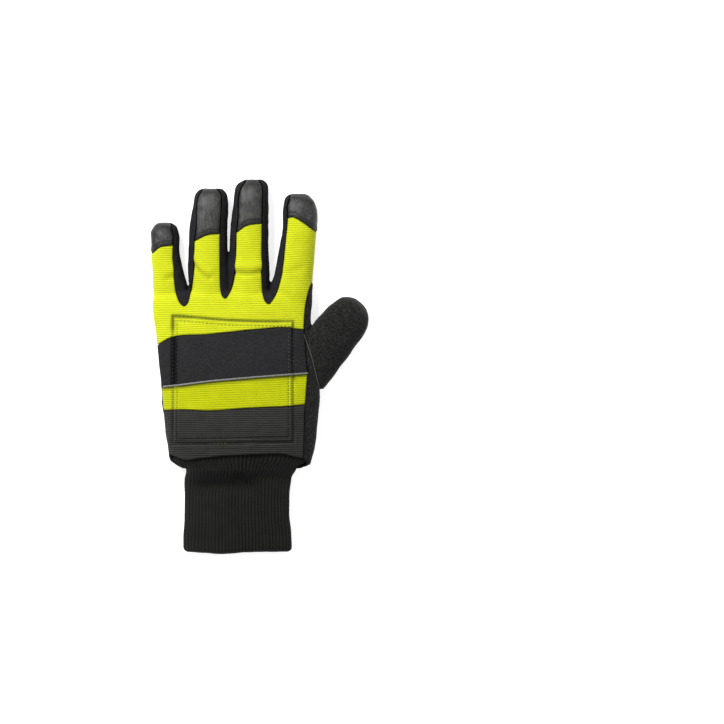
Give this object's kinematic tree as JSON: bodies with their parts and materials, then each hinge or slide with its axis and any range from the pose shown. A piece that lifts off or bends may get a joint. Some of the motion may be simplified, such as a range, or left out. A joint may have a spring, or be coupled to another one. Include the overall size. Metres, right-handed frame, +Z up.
{
  "type": "chainsaw glove",
  "caption": "Left-hand chainsaw protective glove with hi-vis knit back, stitched protection pad, leather fingertip caps, suede palm and thumb, and a long rib-knit cuff.",
  "frame": {"origin": "middle of the glove's box in plan, on the surface that it lies on", "axes": "+X to the thumb side, +Y from the cuff to the fingertips, +Z up out of the back of the hand"},
  "size_m": [0.1626, 0.2796, 0.0293],
  "materials": {
    "suede": "brushed black suede",
    "hi_vis_knit": "hi-vis yellow cross-ribbed knit",
    "black_band": "smooth matt black laminate",
    "reflective_tape": "silver-grey reflective piping",
    "grey_knit": "dark grey cross-ribbed knit",
    "protective_felt": "layered protective felt",
    "grey_leather": "grained dark grey leather, soft sheen",
    "black_stretch": "fine black stretch knit",
    "cuff_knit": "black rib knit"
  },
  "bodies": {
    "root": {"palm": "suede", "thumb": "suede", "back_panel": "hi_vis_knit", "knuckle_band": "black_band", "reflective_piping": "reflective_tape", "lower_band": "hi_vis_knit", "wrist_panel": "grey_knit", "protection_pad": "protective_felt", "cap_little": "grey_leather", "cap_ring": "grey_leather", "cap_middle": "grey_leather", "cap_index": "grey_leather", "fourchette_little_ring": "black_stretch", "fourchette_ring_middle": "black_stretch", "fourchette_middle_index": "black_stretch", "cuff": "cuff_knit"}
  },
  "joints": []
}
